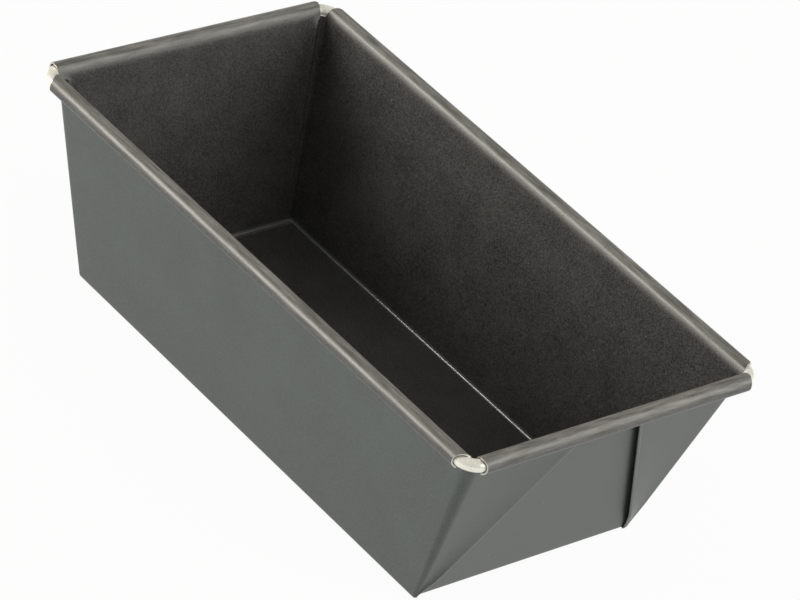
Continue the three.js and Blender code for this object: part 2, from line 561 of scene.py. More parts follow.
    def colour(self, tree: Tree, place: Socket, blend: Socket, rim: Socket, rolled: Socket) -> Socket:
        """Colours the coating, with its rolled rim and its dust.

        Args:
            tree: the material's node tree.
            place: Object coordinates.
            blend: the grain with the cloudiness in it.
            rim: the rim's colour.
            rolled: share of the rolled look.

        Returns:
            The colour.
        """
        share = add_node(tree, "MapRange", {"interpolation_type": "SMOOTHSTEP"}, {
            "Value": blend, "From Min": self.COLOUR_SPAN[0], "From Max": self.COLOUR_SPAN[1],
        }).outputs["Result"]
        coat = add_node(tree, "Mix", {"data_type": "RGBA"}, {
            "Factor": share, 6: linear(self.deep), 7: linear(self.pale),
        }).outputs[2]
        coat = add_node(tree, "Mix", {"data_type": "RGBA"}, {
            "Factor": rolled, 6: coat, 7: rim,
        }).outputs[2]
        cells = add_node(tree, "TexVoronoi", inputs={
            "Vector": place, "Scale": per_metre(self.dust_spacing),
        })
        radius = self.dust_size / self.dust_spacing
        speck = add_node(tree, "MapRange", inputs={
            "Value": cells.outputs["Distance"], "From Min": radius, "From Max": self.SPECK_CORE * radius,
        }).outputs["Result"]
        return add_node(tree, "Mix", {"data_type": "RGBA"}, {
            "Factor": speck, 6: coat, 7: linear(self.dust),
        }).outputs[2]

    def gloss(self, tree: Tree, blend: Socket, rolled: Socket, creased: Socket) -> Socket:
        """Finds the roughness.

        Args:
            tree: the material's node tree.
            blend: the grain with the cloudiness in it.
            rolled: share of the rolled look.
            creased: share of the burnish in the fold at the base.

        Returns:
            The roughness.
        """
        plain = add_node(tree, "MapRange", inputs={
            "Value": blend, "From Min": self.GLOSS_SPAN[0], "From Max": self.GLOSS_SPAN[1],
            "To Min": self.roughness[0], "To Max": self.roughness[1],
        }).outputs["Result"]
        rim = add_node(tree, "Mix", {"data_type": "FLOAT"}, {
            "Factor": rolled, "A": plain, "B": self.rolled_roughness,
        }).outputs["Result"]
        return add_node(tree, "Mix", {"data_type": "FLOAT"}, {
            "Factor": creased, "A": rim, "B": self.creased_roughness,
        }).outputs["Result"]

    def relief(self, tree: Tree, grain: Socket, rolled: Socket, creased: Socket) -> Socket:
        """Raises the grain, which is pressed flat where the sheet was worked.

        Args:
            tree: the material's node tree.
            grain: the grain.
            rolled: share of the rolled look.
            creased: share of the burnish in the fold at the base.

        Returns:
            The normal.
        """
        worked = add_node(tree, "Math", {"operation": "MAXIMUM"}, {
            0: rolled, 1: creased,
        }).outputs[0]
        strength = add_node(tree, "MapRange", inputs={
            "Value": worked, "To Min": 1.0, "To Max": self.worked_grain,
        }).outputs["Result"]
        return add_node(tree, "Bump", inputs={
            "Height": grain, "Strength": strength, "Distance": self.grain_height * MM,
        }).outputs["Normal"]

    def material(self, sizes: PanSizes) -> bpy.types.Material:
        """Builds the coating's material.

        Args:
            sizes: driving sizes of the pan, which place the worked parts.

        Returns:
            The material.
        """
        material, tree = new_material(self.name)
        place = add_node(tree, "TexCoord").outputs["Object"]
        axes = add_node(tree, "SeparateXYZ", inputs={"Vector": place}).outputs
        grain, blend = self.grained(tree, place)
        rolled, creased = self.worked(tree, axes["Z"], sizes)
        rim = self.rim_colour(tree, place, axes["X"], sizes)
        colour = self.colour(tree, place, blend, rim, rolled)
        metallic = self.metallic
        # Painted highlight: a pale metal colour in the base's fold, partly burnish and partly the light's
        # bright line.
        if self.gleam_and_painted_highlight:
            gleam = add_node(tree, "Math", {"operation": "MULTIPLY"}, {
                0: creased, 1: self.gleam_and_painted_highlight,
            }).outputs[0]
            colour = add_node(tree, "Mix", {"data_type": "RGBA"}, {
                "Factor": gleam, 6: colour, 7: linear(self.gleam_and_painted_highlight_colour),
            }).outputs[2]
            metallic = add_node(tree, "Math", {"operation": "MAXIMUM"}, {
                0: gleam, 1: self.metallic,
            }).outputs[0]
        shader = add_node(tree, "BsdfPrincipled", inputs={
            "Base Color": colour,
            "Metallic": metallic,
            "Roughness": self.gloss(tree, blend, rolled, creased),
            "Normal": self.relief(tree, grain, rolled, creased),
        })
        add_node(tree, "OutputMaterial", inputs={"Surface": shader.outputs["BSDF"]})
        return material


@dataclass(frozen=True)
class BareSteel:
    """Bare steel: a sheared edge or a drawn wire, bright, with faint clouds.

    Attributes:
        name: the material's name.
        deep: colour in the clouds.
        pale: colour between them.
        roughness: least and most roughness.
        cloud: size of a cloud.
        metallic: share of bare metal in the look; the rest is dull skin on it.
        GLOSS_SPAN: part of the noise's range that the roughness spreads over.
    """

    GLOSS_SPAN = (0.3, 0.7)

    name: str
    deep: str
    pale: str
    roughness: tuple[float, float]
    cloud: float
    metallic: float

    def material(self) -> bpy.types.Material:
        """Builds the bare steel's material.

        Returns:
            The material.
        """
        material, tree = new_material(self.name)
        place = add_node(tree, "TexCoord").outputs["Object"]
        cloud = add_node(tree, "TexNoise", inputs={
            "Vector": place, "Scale": per_metre(self.cloud), "Detail": 3.0, "Roughness": 0.6,
        }).outputs["Fac"]
        colour = add_node(tree, "Mix", {"data_type": "RGBA"}, {
            "Factor": cloud, 6: linear(self.deep), 7: linear(self.pale),
        }).outputs[2]
        roughness = add_node(tree, "MapRange", inputs={
            "Value": cloud, "From Min": self.GLOSS_SPAN[0], "From Max": self.GLOSS_SPAN[1],
            "To Min": self.roughness[0], "To Max": self.roughness[1],
        }).outputs["Result"]
        shader = add_node(tree, "BsdfPrincipled", inputs={
            "Base Color": colour, "Metallic": self.metallic, "Roughness": roughness,
        })
        add_node(tree, "OutputMaterial", inputs={"Surface": shader.outputs["BSDF"]})
        return material


# Non-stick coating, sprayed on the inside and baked: near black and satin, with a fine grain that
# breaks up the light, roller's marks along the rim, and in the creases at the base a burnished gleam
# with a pale painted highlight.
# A real grain is about 0.1 mm and would not show, so it is drawn about four times coarser.
NON_STICK = Coating(
    name="baked_non_stick_coating", deep="#2b2a29", pale="#51504e", dust="#a5a29b",
    rolled=("#5a5853", "#82807a"), rolled_roughness=0.34, metallic=0.0, roughness=(0.32, 0.42),
    grain=0.4, mottle=9.0, mottle_share=0.2, dust_spacing=9.0, dust_size=0.16, grain_height=0.02,
    gleam_and_painted_highlight=0.9,
)
# Grey coating, sprayed thin on the outside and baked: smooth, even and satin, with soft clouds in the
# grey and a slight gleam of metal flake. Its grain too is drawn coarser than real.
GREY_COAT = Coating(
    name="baked_grey_coating", deep="#404642", pale="#515853", dust="#a5a6a0",
    rolled=("#4d544f", "#585f5a"), rolled_roughness=0.34, metallic=0.2, roughness=(0.34, 0.44),
    grain=0.45, mottle=14.0, mottle_share=0.3, dust_spacing=8.0, dust_size=0.16, grain_height=0.006,
)
# The same coating painted paler on the flaps' hems: a painted highlight, a light line along the fold.
HEM_PAINTED_HIGHLIGHT_COAT = replace(GREY_COAT, name="grey_coating_painted_hem_highlight", deep="#5f6560", pale="#747a74")
# Steel where the blank was sheared: a thin bright line along each cut edge.
SHEARED_EDGE = BareSteel("sheared_steel_edge", "#b8b6ae", "#dedcd4", (0.3, 0.5), 0.3, 0.8)
# Steel wire, drawn and tinned: warm white, with a soft gleam and faint clouds.
TINNED_WIRE = BareSteel("tinned_steel_wire", "#f4f1e4", "#fffcf2", (0.24, 0.34), 0.5, 0.4)


@dataclass(frozen=True)
class Finishes:
    """Materials of the pan, one for each kind of surface.

    Attributes:
        inside: coating on the sheet's inner face.
        outside: coating on its outer face.
        hem: coating on the flaps' hems, painted paler as a painted highlight.
        cut: the sheet's sheared edges.
        wire: the rim wire.
    """

    inside: bpy.types.Material
    outside: bpy.types.Material
    hem: bpy.types.Material
    cut: bpy.types.Material
    wire: bpy.types.Material

    @classmethod
    def make(cls, sizes: PanSizes) -> "Finishes":
        """Builds every material once.

        Args:
            sizes: driving sizes of the pan.

        Returns:
            The materials.
        """
        return cls(
            inside=NON_STICK.material(sizes),
            outside=GREY_COAT.material(sizes),
            hem=HEM_PAINTED_HIGHLIGHT_COAT.material(sizes),
            cut=SHEARED_EDGE.material(),
            wire=TINNED_WIRE.material(),
        )


def mesh_object(name: str, bm: bmesh.types.BMesh) -> bpy.types.Object:
    """Brings a finished bmesh to metres and makes an object of it.

    Args:
        name: the object's name.
        bm: the bmesh, in millimetres; it is freed.

    Returns:
        The object, at the origin.
    """
    bmesh.ops.scale(bm, vec=(MM, MM, MM), verts=bm.verts[:])
    mesh = bpy.data.meshes.new(name)
    bm.to_mesh(mesh)
    bm.free()
    piece = bpy.data.objects.new(name, mesh)
    bpy.context.scene.collection.objects.link(piece)
    return piece


def settle(piece: bpy.types.Object) -> None:
    """Applies a piece's modifiers, then shades it smooth with its real edges sharp.

    Args:
        piece: the piece.
    """
    graph = bpy.context.evaluated_depsgraph_get()
    mesh = bpy.data.meshes.new_from_object(piece.evaluated_get(graph), depsgraph=graph)
    piece.modifiers.clear()
    piece.data = mesh
    mesh.shade_smooth()
    mesh.set_sharp_from_angle(angle=SMOOTH_ANGLE)


def sheet_object(
    name: str, bm: bmesh.types.BMesh, sheet: float, lap: Lap, finishes: Finishes
) -> bpy.types.Object:
    """Gives a swept surface the sheet's thickness and its finishes.

    Args:
        name: the object's name.
        bm: the sheet's mid surface.
        sheet: thickness.
        lap: which coating lies on the side that the surface faces.
        finishes: the pan's materials.

    Returns:
        The finished object.
    """
    piece = mesh_object(name, bm)
    for side in lap.value:
        piece.data.materials.append(getattr(finishes, side))
    wall = piece.modifiers.new("sheet", "SOLIDIFY")
    wall.thickness = sheet * MM
    wall.offset = 0.0
    wall.use_even_offset = True
    wall.material_offset = 1
    wall.material_offset_rim = 2
    settle(piece)
    return piece


def dress(piece: bpy.types.Object, slot: str, *nodes: str) -> bpy.types.Object:
    """Joins a piece to the frame.

    Args:
        piece: the piece.
        slot: name of a material slot; not used.
        nodes: nodes of the frame that it stands for.

    Returns:
        The piece.
    """
    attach(piece, BODY)
    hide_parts(*nodes)
    return piece


@dataclass(frozen=True)
class Folds:
    """Sizes of the corner folds, shared by the walls that they join.

    Attributes:
        sheet: thickness of the sheet.
        corner_radius: outer radius where a side wall turns round the corner, at the foot and the rim.
        ply_gap: between two plies, as drawn.
        slit: between a side wall and the folded edge of an end wall, at the foot and the rim.
        foot_stack: how far the outer ply stands out from the end wall at the foot.
        stack_rise: height over which the plies come to their full stack.
        lift: how far the flap springs out at its hem.
        lift_rise: height over which it does so.
        foot: height of the fold's lower edge.
        foot_width: least width of the flap, at the foot.
        hem_stretch: how much deeper than a half round the hem is.
        press: how far the folded edge of an end wall is pressed inwards.
        margin: width of end wall that follows it.
    """

    sheet: float
    corner_radius: tuple[float, float] = (0.9, 2.6)
    ply_gap: float = 0.05
    slit: tuple[float, float] = (0.75, 1.55)
    foot_stack: float = 0.4
    stack_rise: float = 8.0
    lift: float = 0.8
    lift_rise: float = 6.0
    foot: float = 0.24
    foot_width: float = 0.8
    hem_stretch: float = 2.0
    press: float = 0.5
    margin: float = 2.4

    @property
    def hem_radius(self) -> float:
        """Mid-line radius of a ply folded back on itself."""
        return (self.sheet + self.ply_gap) / 2

    @property
    def hem_edge(self) -> float:
        """Outer radius of the same fold."""
        return self.hem_radius + self.sheet / 2

    @property
    def hem_depth(self) -> float:
        """Depth of the flap's hem, from where its plies part to its fold."""
        return self.hem_edge * self.hem_stretch

    @property
    def stack(self) -> float:
        """How far the outer ply stands out from the end wall, as drawn and at the rim: two folds."""
        return 4 * self.hem_radius

    @property
    def reach(self) -> float:
        """Length of side wall that belongs to a corner fold."""
        return self.corner_radius[1] + self.sheet

    def edge(self, rise: float) -> float:
        """Finds where the end wall's edge begins to fold.

        Args:
            rise: share of the way up from the foot to the rim.

        Returns:
            Distance in from the side wall's outer face.
        """
        low, high = self.slit
        return self.sheet + low + (high - low) * rise + self.hem_edge


@dataclass(frozen=True)
class CurlEnd:
    """Cut end of a curl.

    Attributes:
        back: from the corner of the wire's centre lines back to the cut, over the wire.
        slant: how far the cut runs back for each millimetre out, inside the wire and outside it.
    """

    back: float
    slant: tuple[float, float]

    def half_length(self, rim: float, past: float) -> float:
        """Finds half a curl's length.

        Args:
            rim: between the wire's centre lines at the curl's two ends.
            past: distance out beyond the wire's centre line.

        Returns:
            Half the length there.
        """
        inner, outer = self.slant
        return rim / 2 - self.back - past * (outer if past > 0 else inner)


@dataclass(frozen=True)
class Pan:
    """The pan's walls and folds, from which every piece takes its place.

    Attributes:
        sizes: driving sizes.
        folds: sizes of the corner folds.
        roll_set: how far a wall stands inside the curl's bore.
        lap_room: how much further in the end walls stand, for the plies lapped over them.
        side_curl: cut ends of the side curls.
        end_curl: cut ends of the end curls.
        hem_start: usual width of a flap at the table.
        hem_growth: usual width that it gains for each millimetre of height.
    """

    sizes: PanSizes
    folds: Folds
    roll_set: float = 0.25
    lap_room: float = 0.05
    side_curl: CurlEnd = CurlEnd(3.3, (0.45, 0.6))
    end_curl: CurlEnd = CurlEnd(2.6, (-0.2, 0.3))
    hem_start: float = 0.4
    hem_growth: float = 0.64

    @property
    def side(self) -> WallLine:
        """Run of the two side walls.

        Returns:
            The run in section.
        """
        s = self.sizes
        rim = Vector((s.rim_width / 2, s.rim_height))
        return WallLine(s.base_width / 2, rim, s.bore + self.roll_set, s.bore)

    @property
    def end(self) -> WallLine:
        """Run of the two end walls, which stand in by the lapped plies.

        Returns:
            The run in section.
        """
        s = self.sizes
        rim = Vector((s.rim_length / 2, s.rim_height))
        return WallLine(s.base_length / 2, rim, s.bore + self.roll_set + self.lap_room, s.bore)

    def foot_pinch(self, height: float, width: float) -> float:
        """Finds how far a fold's plan is pinched where its flap runs out at the foot.

        Args:
            height: height above the table.
            width: width of the flap there.

        Returns:
            Share of its drawn width that is left.
        """
        folds = self.folds
        least = folds.edge(height / self.sizes.rim_height) + folds.hem_depth + folds.ply_gap
        return min(1.0, max(folds.foot_width, width) / least)

    def pinched(self, inward: float, pinch: float) -> float:
        """Narrows a fold's plan, of which the ply that meets the side wall keeps its place.

        Args:
            inward: distance in from the side wall's outer face.
            pinch: share of the width that is left.

        Returns:
            The distance that is left.
        """
        mid = self.folds.sheet / 2
        return mid + (inward - mid) * pinch

    def end_half_length(self, height: float) -> float:
        """Finds half an end wall's length, up to where its edges fold.

        Args:
            height: height above the table.

        Returns:
            Half the length there.
        """
        edge = self.folds.edge(height / self.sizes.rim_height)
        pinch = self.foot_pinch(height, self.hem_start + self.hem_growth * height)
        return self.side.at(height, self.pinched(edge, pinch))


@dataclass
class BasePanel:
    """Flat of the base, with an ear at each corner that closes it under the corner fold.

    Attributes:
        pan: the pan's walls and folds.
        ear_inset: how far the ears stop short of the walls' outer faces.
    """

    pan: Pan
    ear_inset: float = 0.45

    def build(self, finishes: Finishes) -> bpy.types.Object:
        """Makes the base.

        Args:
            finishes: the pan's materials.

        Returns:
            The base panel.
        """
        side, end, folds = self.pan.side, self.pan.end, self.pan.folds
        half_x = (end.at(0, folds.reach), end.bend_centre.x, end.at(0) - self.ear_inset)
        half_y = (self.pan.end_half_length(0), side.bend_centre.x, side.at(0) - self.ear_inset)
        lines_x = [-x for x in reversed(half_x)] + list(half_x)
        lines_y = [-y for y in reversed(half_y)] + list(half_y)
        last = len(lines_x) - 1
        bm = bmesh.new()
        bmesh.ops.create_grid(bm, x_segments=last, y_segments=last, size=last / 2)
        for vert in bm.verts:
            column, row = round(vert.co.x + last / 2), round(vert.co.y + last / 2)
            vert.co = (lines_x[column], lines_y[row], folds.sheet / 2)
        taken = []
        for face in bm.faces:
            x, y = (abs(value) for value in face.calc_center_median().xy)
            if (x > half_x[1] and y < half_y[0]) or (y > half_y[1] and x < half_x[0]):
                taken.append(face)
        bmesh.ops.delete(bm, geom=taken, context="FACES")
        piece = sheet_object("base", bm, folds.sheet, Lap.INSIDE_ON_LEFT, finishes)
        return dress(piece, "nonstick_sheet", "base_panel")


@dataclass
class RimmedWall:
    """A wall in one strip: its bend at the foot, its face, its roll and its curl over the wire.

    Attributes:
        pan: the pan's walls and folds.
        place: which wall it is.
        wrap: turn of the sheet from wall to cut edge.
        length_steps: strips of faces along the wall.
        crowding: how much closer the strips lie towards the wall's ends.
        face_pieces: rows of faces up the wall's flat.
    """

    pan: Pan
    place: Place
    wrap: float = math.radians(235)
    length_steps: int = 40
    crowding: float = 1.8
    face_pieces: int = 24

    @property
    def is_side(self) -> bool:
        """Whether it is one of the two long walls."""
        return self.place in (Place.LEFT, Place.RIGHT)

    @property
    def line(self) -> WallLine:
        """Run of this wall."""
        return self.pan.side if self.is_side else self.pan.end

    def in_curl(self, out: float, height: float) -> bool:
        """Tells whether a point of the section belongs to the curl.

        Args:
            out: distance out from the pan's middle.
            height: height above the table.

        Returns:
            Whether it lies above the roll's start or out past the wall.
        """
        sheet = self.pan.folds.sheet
        return height > self.line.roll_start.y + sheet or out > self.line.at(height) + sheet

    def half_length(self, out: float, height: float) -> float:
        """Finds half the strip's length at a point of its section.

        Args:
            out: distance out from the pan's middle.
            height: height above the table.

        Returns:
            Half the length there.
        """
        sizes, folds, line = self.pan.sizes, self.pan.folds, self.line
        if self.in_curl(out, height):
            past = out - line.rim.x
            if self.is_side:
                return self.pan.side_curl.half_length(sizes.rim_length, past)
            return self.pan.end_curl.half_length(sizes.rim_width, past)
        if self.is_side:
            return self.pan.end.at(height, folds.reach)
        return self.pan.end_half_length(height)

    def spread(self, share: float) -> float:
        """Moves a station along the strip towards its ends, where an end wall's margin needs more of them.

        Args:
            share: station from -1 to 1, evenly spaced.

        Returns:
            Its place from -1 to 1.
        """
        return math.copysign(1 - clamp(1 - abs(share)) ** self.crowding, share)

    def press(self, from_edge: float, height: float) -> float:
        """Finds how far a wall's margin is pressed inwards by the fold at its edge.

        Args:
            from_edge: distance from the wall's edge.
            height: height above the table.

        Returns:
            Distance inwards; none on a side wall.
        """
        folds = self.pan.folds
        if self.is_side:
            return 0.0
        return folds.press * clamp(height / self.line.rim.y) * clamp(1 - from_edge / folds.margin) ** 2

    def build(self, finishes: Finishes) -> bpy.types.Object:
        """Makes the wall.

        Args:
            finishes: the pan's materials.

        Returns:
            The wall with its curl.
        """
        sheet, bore, line = self.pan.folds.sheet, self.pan.sizes.bore, self.line
        drawn = SheetLine(Flat.SECTION, Vector((line.bend_centre.x, sheet / 2)), 0.0)
        drawn.bend(math.pi / 2 - line.lean, line.bend_radius - sheet / 2)
        drawn.straight((line.roll_start - line.bend_centre).dot(line.upwards), self.face_pieces)
        drawn.bend(-line.roll_turn, line.roll_radius + sheet / 2)
        drawn.bend(line.roll_turn - self.wrap, bore + sheet / 2)
        bm = drawn.sweep(-1.0, 1.0, self.length_steps)
        for vert in bm.verts:
            share, half = vert.co.x, self.half_length(vert.co.y, vert.co.z)
            in_curl = self.in_curl(vert.co.y, vert.co.z)
            vert.co.x = half * self.spread(share)
            vert.co.y -= 0.0 if in_curl else self.press(half - abs(vert.co.x), vert.co.z)
            vert.co.x += self.place.curl_shift if in_curl else 0.0
        bmesh.ops.rotate(bm, verts=bm.verts[:], matrix=Matrix.Rotation(self.place.turn, 3, "Z"))
        name = self.place.name.lower()
        kind = "side" if self.is_side else "end"
        piece = sheet_object(f"{name}_{kind}", bm, sheet, Lap.INSIDE_ON_LEFT, finishes)
        return dress(piece, "coated_sheet", f"{name}_{kind}_wall", f"{name}_rim_curl")


@dataclass(frozen=True)
class HandFold:
    """How one corner was folded by hand.

    Attributes:
        hand: 1 for a fold drawn on the right, -1 for its mirror image.
        rear: whether the drawn corner is turned round to the rear.
        hem_start: width of the flap at the table, where the hem's line would meet it.
        skew: how much faster than its fair share the flap widens for each millimetre of height.
    """

    hand: int
    rear: bool
    hem_start: float
    skew: float


class Corner(Enum):
    """A corner of the pan, with how its fold came out."""

    FRONT_RIGHT = HandFold(1, False, 0.7, -0.013)
    FRONT_LEFT = HandFold(-1, False, 0.0, 0.03)
    REAR_LEFT = HandFold(1, True, 0.5, 0.0)
    REAR_RIGHT = HandFold(-1, True, 0.3, 0.012)


@dataclass
class CornerFold:
    """Corner metal folded flat: round the corner, across the end wall to a hem, and back to the edge.

    Attributes:
        pan: the pan's walls and folds.
        corner: which corner it is.
        wire_rise: how far above the side wall's roll the metal reaches behind the wire.
        corner_top: how far in along the end wall that raised metal stays level, and then runs out.
        levels: rows of faces up the fold.
        level_power: how much closer the rows lie towards the foot, as a power.
        ply_pieces: faces across each ply.
        drawn_width: width of the flap as its plan is drawn, before it takes its own.
        HEM_REGION: first of the finishes on the hem, among those of the fold.
        HEM_CLEARANCE: how far the corner's region stops short of the inner fold, in hem radii.
        RISE_RATE: number of parts of the corner's run, in the first of which the raised metal comes up.
    """

    HEM_REGION = len(Lap.OUTSIDE_ON_LEFT.value) // 2
    HEM_CLEARANCE = 1.1
    RISE_RATE = 3

    pan: Pan
    corner: Corner
    wire_rise: float = 0.9
    corner_top: tuple[float, float] = (0.6, 2.8)
    levels: int = 44
    level_power: float = 1.6
    ply_pieces: int = 14
    drawn_width: float = 14.0

    @property
    def growth(self) -> float:
        """Width that the flap gains for each millimetre of height: the fold halves the spare sector.

        Returns:
            The gain in width.
        """
        side, end = self.pan.side, self.pan.end
        corner_line = Vector((end.slope, side.slope, 1))
        to_length = corner_line.angle(Vector((1, 0, 0)))
        to_width = corner_line.angle(Vector((0, 1, 0)))
        diagonal = (to_length + to_width - math.pi / 2) / 2 - (math.pi / 2 - to_width)
        return math.tan(diagonal) / math.cos(end.lean) + side.slope

    def top(self, out: float, inward: float) -> float:
        """Finds the height of the fold's upper edge.

        Args:
            out: distance out from the end wall's outer face, as drawn.
            inward: distance in from the side wall's outer face, as drawn.

        Returns:
            Height above the table.
        """
        folds = self.pan.folds
        flap, corner = self.pan.end.roll_start.y, self.pan.side.roll_start.y
        level, run = self.corner_top
        along = clamp((out + folds.reach) / (folds.reach + folds.stack))
        near = clamp(1 - (inward - level) / run)
        return flap + (corner - flap + self.wire_rise * clamp(self.RISE_RATE * along)) * near

    def plan(self, out: float, inward: float, width: float, up: float) -> tuple[float, float, float]:
        """Takes a point of the drawn plan to the fold's own plan at one height.

        Args:
            out: distance out from the end wall's outer face, as drawn.
            inward: distance in from the side wall's outer face, as drawn.
            width: width of the flap there, before it is pinched.
            up: share of the way up to the rim.

        Returns:
            Distance out, distance in, and the share of the flap's spring that the point takes.
        """
        folds = self.pan.folds
        radius, mid = folds.corner_radius[1], folds.sheet / 2
        shrink = (folds.corner_radius[0] - mid) / (radius - mid)
        shrink += (1 - shrink) * up
        bend_end = mid + (radius - mid) * shrink
        hem_start, hem_place = self.drawn_width - folds.hem_edge, width - folds.hem_depth
        edge_drawn, edge_place = folds.edge(1), folds.edge(up)
        outer_ply = out > folds.stack / 2
        # The side wall's ply and the bend round the corner, which is tighter towards the foot
        if inward <= radius and (outer_ply or inward < edge_drawn - self.HEM_CLEARANCE * folds.hem_radius):
            outer = folds.stack - mid
            if out > folds.stack - radius - mid:
                out = outer + (out - outer) * shrink
            return out, mid + (inward - mid) * shrink, 0.0
        # The flap's hem
        if inward > hem_start:
            return out, hem_place + (inward - hem_start) * folds.hem_stretch, 1.0
        # The outer ply, from the bend to the hem
        if outer_ply:
            share = (inward - radius) / (hem_start - radius)
            return out, bend_end + share * (hem_place - bend_end), share**2
        # The inner ply, from the hem back to the end wall's edge
        if inward > edge_drawn:
            share = (inward - edge_drawn) / (hem_start - edge_drawn)
            return out, edge_place + share * (hem_place - edge_place), share**2
        # The end wall's folded edge, which is pressed inwards with the wall's margin
        pressed = clamp((folds.stack / 2 - folds.hem_radius - out) / (2 * folds.hem_radius))
        return out - folds.press * up * pressed, inward + edge_place - edge_drawn, 0.0

    def placed(self, out: float, inward: float, rise: float) -> Vector:
        """Takes a point of the drawn plan to its place in the fold.

        Args:
            out: distance out from the end wall's outer face, as drawn.
            inward: distance in from the side wall's outer face, as drawn.
            rise: share of the way up the fold.

        Returns:
            The point in the pan's frame, at the front right corner.
        """
        folds, side, end, fold = self.pan.folds, self.pan.side, self.pan.end, self.corner.value
        height = folds.foot + rise**self.level_power * (self.top(out, inward) - folds.foot)
        natural = fold.hem_start + (self.growth + fold.skew) * height
        pinch = self.pan.foot_pinch(height, natural)
        width = max(folds.foot_width, natural) / pinch
        up = clamp(height / self.pan.sizes.rim_height)
        out, inward, spring = self.plan(out, inward, width, up)
        if out > 0:
            stack = folds.foot_stack + (folds.stack - folds.foot_stack) * clamp(height / folds.stack_rise)
            out *= stack / folds.stack
        out += folds.lift * spring * clamp(height / folds.lift_rise)
        mid = folds.sheet / 2
        tuck_x = (end.at(height) - end.face(height)) * clamp((out + folds.reach) / folds.reach)
        tuck_y = side.at(height, mid) - side.face(height, mid)
        depth = self.pan.pinched(inward, pinch)
        return Vector((end.at(height, -out) - tuck_x, side.at(height, depth) - tuck_y, height))

    def build(self, finishes: Finishes) -> bpy.types.Object:
        """Makes the fold.

        Args:
            finishes: the pan's materials.

        Returns:
            The corner fold.
        """
        folds, fold = self.pan.folds, self.corner.value
        radius, edge = folds.corner_radius[1], folds.edge(1)
        drawn = SheetLine(Flat.PLAN, Vector((-folds.reach, -folds.sheet / 2)), 0.0)
        drawn.straight(folds.reach + folds.stack - radius)
        drawn.bend(-math.pi / 2, radius - folds.sheet / 2)
        drawn.straight(self.drawn_width - radius - folds.hem_edge, self.ply_pieces)
        drawn.bend(-math.pi, folds.hem_radius)
        drawn.straight(self.drawn_width - folds.hem_edge - edge, self.ply_pieces)
        drawn.bend(math.pi, folds.hem_radius)
        bm = drawn.sweep(0.0, 1.0, self.levels)
        # The hem's faces take the paler coat: a painted highlight along the fold.
        for face in bm.faces:
            in_hem = -face.calc_center_median().y > self.drawn_width - folds.hem_edge
            face.material_index = self.HEM_REGION if in_hem else 0
        for vert in bm.verts:
            vert.co = self.placed(vert.co.x, -vert.co.y, vert.co.z)
        if fold.hand < 0:
            bmesh.ops.scale(bm, vec=(1, -1, 1), verts=bm.verts[:])
            bmesh.ops.reverse_faces(bm, faces=bm.faces[:])
        if fold.rear:
            bmesh.ops.rotate(bm, verts=bm.verts[:], matrix=Matrix.Rotation(math.pi, 3, "Z"))
        name = f"{self.corner.name.lower()}_corner_fold"
        piece = sheet_object(f"{name}_sheet", bm, folds.sheet, Lap.OUTSIDE_ON_LEFT, finishes)
        return dress(piece, "coated_sheet", name)


@dataclass
class RimWire:
    """Wire that stiffens the rim: one open loop with four bends, its ends butted in the left curl.

    Attributes:
        sizes: driving sizes.
        bend_radius: radius of its corners, on the centre line.
        sag: how far the wire lies below the middle of the curl.
        butt_gap: between its two ends.
        sides: faces round the wire.
        bend_steps: faces along each of its corners.
    """

    sizes: PanSizes
    bend_radius: float = 4.1
    sag: float = 0.1
    butt_gap: float = 0.6
    sides: int = 32
    bend_steps: int = 16

    def build(self, finishes: Finishes) -> bpy.types.Object:
        """Makes the wire.

        Args:
            finishes: the pan's materials.

        Returns:
            The rim wire.
        """
        sizes = self.sizes
        reach_x = sizes.rim_length / 2 - self.bend_radius
        reach_y = sizes.rim_width / 2 - self.bend_radius
        height = sizes.rim_height - self.sag
        bm = bmesh.new()
        ring = bmesh.ops.create_circle(
            bm, cap_ends=True, segments=self.sides, radius=sizes.wire_radius
        )["verts"]
        bmesh.ops.rotate(bm, verts=ring, matrix=Matrix.Rotation(math.pi / 2, 3, "Y"))
        start = Vector((self.butt_gap / 2, -sizes.rim_width / 2, height))
        bmesh.ops.translate(bm, verts=ring, vec=start)
        tip = bm.faces[:]
        here = start
        for quarter in range(4):
            turn = Matrix.Rotation(quarter * math.pi / 2, 3, "Z")
            reach = (reach_x, reach_y) if quarter % 2 == 0 else (reach_y, reach_x)
            centre = turn @ Vector((reach[0], -reach[1], height))
            bend_start = centre + turn @ Vector((0, -self.bend_radius, 0))
            tip = self.run_on(bm, tip, bend_start - here)
            spun = bmesh.ops.spin(
                bm, geom=tip, cent=centre, axis=(0, 0, 1), angle=math.pi / 2, steps=self.bend_steps,
                use_merge=False, use_duplicate=False,
            )
            tip = [item for item in spun["geom_last"] if isinstance(item, bmesh.types.BMFace)]
            here = centre + turn @ Vector((self.bend_radius, 0, 0))
        self.run_on(bm, tip, start - Vector((self.butt_gap, 0, 0)) - here)
        bmesh.ops.recalc_face_normals(bm, faces=bm.faces[:])
        piece = mesh_object("bent_rim_wire", bm)
        piece.data.materials.append(finishes.wire)
        settle(piece)
        return dress(piece, "rim_wire", "rim_wire")

    @staticmethod
    def run_on(
        bm: bmesh.types.BMesh, tip: list[bmesh.types.BMFace], run: Vector
    ) -> list[bmesh.types.BMFace]:
        """Extrudes the wire's end straight on.

        Args:
            bm: the wire's bmesh.
            tip: the face at its end.
            run: how far and which way it goes on.

        Returns:
            The face at its new end.
        """
        made = bmesh.ops.extrude_face_region(bm, geom=tip)["geom"]
        bmesh.ops.delete(bm, geom=tip, context="FACES_KEEP_BOUNDARY")
        bmesh.ops.translate(
            bm, vec=run, verts=[item for item in made if isinstance(item, bmesh.types.BMVert)]
        )
        return [item for item in made if isinstance(item, bmesh.types.BMFace)]


